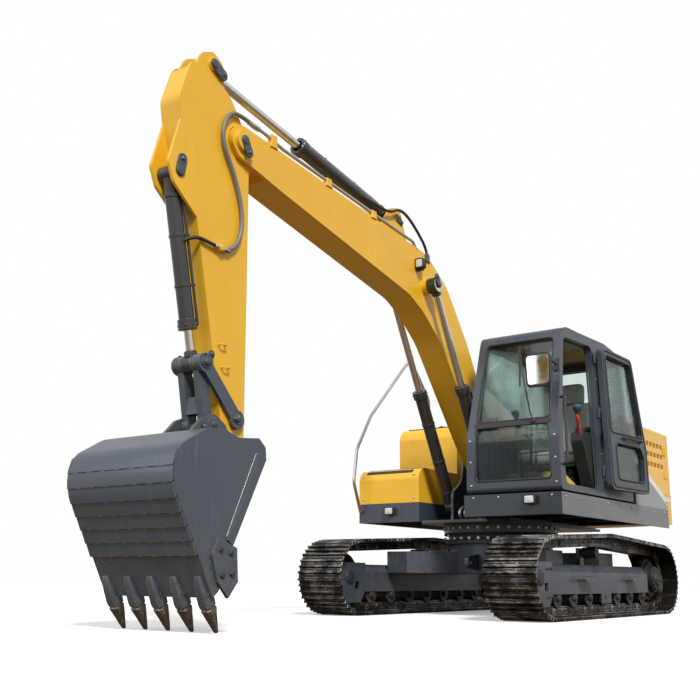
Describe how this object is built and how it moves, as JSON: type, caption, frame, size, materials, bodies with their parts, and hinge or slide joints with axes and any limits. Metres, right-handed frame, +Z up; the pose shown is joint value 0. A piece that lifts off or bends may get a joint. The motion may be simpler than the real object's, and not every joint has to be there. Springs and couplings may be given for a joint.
{
  "type": "crawler excavator",
  "caption": "Crawler excavator on steel tracks, with a slewing house, a cab with an open door, and a hydraulic boom, arm and bucket.",
  "frame": {"origin": "on the ground under the swing axis, tracks standing on z = 0", "axes": "+X forward along the boom, +Y to the left (cab side), +Z up"},
  "size_m": [7.2976, 2.6819, 4.2182],
  "materials": {
    "black_plastic": "matte",
    "bucket_paint": "satin",
    "cast": "satin",
    "chrome": "polished",
    "dark_paint": "satin",
    "galvanised": "satin",
    "glass": "clear",
    "lamp": "clear",
    "rubber": "matte",
    "seat_fabric": "woven",
    "tooth_steel": "worn",
    "track_steel": "worn",
    "yellow_paint": "gloss"
  },
  "bodies": {
    "undercarriage": {"car_body": "dark_paint", "track_frame_left": "dark_paint", "track_frame_right": "dark_paint", "track_left": "track_steel", "track_right": "track_steel", "idlers": "cast", "sprockets": "cast", "track_rollers": "cast", "carrier_rollers": "cast", "swing_ring_lower": "cast"},
    "house": {"swing_ring_upper": "dark_paint", "revolving_frame": "dark_paint", "left_deck": "dark_paint", "right_deck": "dark_paint", "bulkhead": "dark_paint", "engine_block": "cast", "tank_housing": "yellow_paint", "tool_box": "yellow_paint", "counterweight": "yellow_paint", "cab_left_wall": "dark_paint", "cab_right_wall": "dark_paint", "cab_front": "dark_paint", "cab_floor": "dark_paint", "cab_roof": "dark_paint", "cab_rear": "dark_paint", "cab_glass": "glass", "seat": "seat_fabric", "consoles": "black_plastic", "travel_pedals": "black_plastic", "cab_mounts": "rubber", "handrail": "galvanised", "mirror": "black_plastic", "work_lamps": "lamp"},
    "cab_door": {"cab_door": "dark_paint", "door_glass": "glass"},
    "left_service_door": {"left_side_door": "yellow_paint"},
    "right_service_door": {"right_side_door": "yellow_paint"},
    "hood": {"engine_hood": "yellow_paint", "exhaust": "galvanised"},
    "boom": {"boom": "yellow_paint", "boom_lamp": "lamp"},
    "boom_cylinders": {"boom_cylinder_barrels": "dark_paint"},
    "boom_rods": {"boom_cylinder_rods": "chrome"},
    "arm": {"arm": "yellow_paint"},
    "arm_cylinder": {"arm_cylinder_barrel": "dark_paint"},
    "arm_rod": {"arm_cylinder_rod": "chrome"},
    "bucket": {"bucket": "bucket_paint", "bucket_teeth": "tooth_steel", "side_cutters": "bucket_paint"},
    "bucket_cylinder": {"bucket_cylinder_barrel": "dark_paint"},
    "bucket_rod": {"bucket_cylinder_rod": "chrome"},
    "guide_links": {"guide_links": "bucket_paint"},
    "bucket_link": {"bucket_link": "bucket_paint"}
  },
  "joints": [
    {"name": "slew", "type": "hinge", "parent": "undercarriage", "child": "house", "pos_m": [0, 0, 0.85], "axis": [0, 0, 1], "continuous": true},
    {"name": "door_swing", "type": "hinge", "parent": "house", "child": "cab_door", "pos_m": [0.258, 1.26699, 1.13071], "axis": [0, 0.0321, -0.9995], "range_deg": [0, 175]},
    {"name": "left_service_door_swing", "type": "hinge", "parent": "house", "child": "left_service_door", "pos_m": [-1.626, 1.257, 1.5], "axis": [0, 0, 1], "range_deg": [0, 110]},
    {"name": "right_service_door_swing", "type": "hinge", "parent": "house", "child": "right_service_door", "pos_m": [-1.626, -1.257, 1.5], "axis": [0, 0, -1], "range_deg": [0, 110]},
    {"name": "hood_lift", "type": "hinge", "parent": "house", "child": "hood", "pos_m": [-1.64, 0, 2.027], "axis": [0, -1, 0], "range_deg": [0, 55]},
    {"name": "boom_lift", "type": "hinge", "parent": "house", "child": "boom", "pos_m": [0.21, -0.06, 1.52], "axis": [0, -1, 0], "range_deg": [-72, 35]},
    {"name": "boom_cylinder_swing", "type": "hinge", "parent": "house", "child": "boom_cylinders", "pos_m": [0.5, -0.06, 1.08], "axis": [0, -1, 0], "range_deg": [-69.55, 33.91]},
    {"name": "boom_rod_slide", "type": "slide", "parent": "boom_cylinders", "child": "boom_rods", "axis": [0.4777, 0, 0.8785], "range_m": [-0.593, 0.2893]},
    {"name": "arm_crowd", "type": "hinge", "parent": "boom", "child": "arm", "pos_m": [4.253, -0.06, 3.603], "axis": [0, 1, 0], "range_deg": [-85, 30]},
    {"name": "arm_cylinder_swing", "type": "hinge", "parent": "boom", "child": "arm_cylinder", "pos_m": [2.051, -0.06, 3.69], "axis": [0, 1, 0], "range_deg": [-4.95, 1.88]},
    {"name": "arm_rod_slide", "type": "slide", "parent": "arm_cylinder", "child": "arm_rod", "axis": [0.9858, 0, 0.168], "range_m": [-0.7791, 0.2763]},
    {"name": "bucket_curl", "type": "hinge", "parent": "arm", "child": "bucket", "pos_m": [4.185, -0.06, 1.09], "axis": [0, 1, 0], "range_deg": [-6, 150]},
    {"name": "bucket_cylinder_swing", "type": "hinge", "parent": "arm", "child": "bucket_cylinder", "pos_m": [4.846, -0.06, 3.156], "axis": [0, 1, 0], "range_deg": [-6.2, 0.44]},
    {"name": "bucket_rod_slide", "type": "slide", "parent": "bucket_cylinder", "child": "bucket_rod", "axis": [-0.2189, 0, -0.9758], "range_m": [-0.0363, 0.8604]},
    {"name": "guide_link_swing", "type": "hinge", "parent": "arm", "child": "guide_links", "pos_m": [4.194, -0.06, 1.453], "axis": [0, 1, 0], "range_deg": [-4.76, 114.2]},
    {"name": "bucket_link_swing", "type": "hinge", "parent": "bucket", "child": "bucket_link", "pos_m": [4.46, -0.06, 1.382], "axis": [0, 1, 0], "range_deg": [-120.2, 5]}
  ],
  "couplings": [
    {"joint": "boom_cylinder_swing", "follows": "boom_lift", "ratio": 0.9632},
    {"joint": "boom_rod_slide", "follows": "boom_lift", "m_per_rad": 0.47029},
    {"joint": "arm_cylinder_swing", "follows": "arm_crowd", "ratio": 0.0559},
    {"joint": "arm_rod_slide", "follows": "arm_crowd", "m_per_rad": 0.52382},
    {"joint": "bucket_cylinder_swing", "follows": "bucket_curl", "ratio": -0.04},
    {"joint": "bucket_rod_slide", "follows": "bucket_curl", "m_per_rad": 0.3279},
    {"joint": "guide_link_swing", "follows": "bucket_curl", "ratio": 0.76},
    {"joint": "bucket_link_swing", "follows": "bucket_curl", "ratio": -0.8}
  ]
}
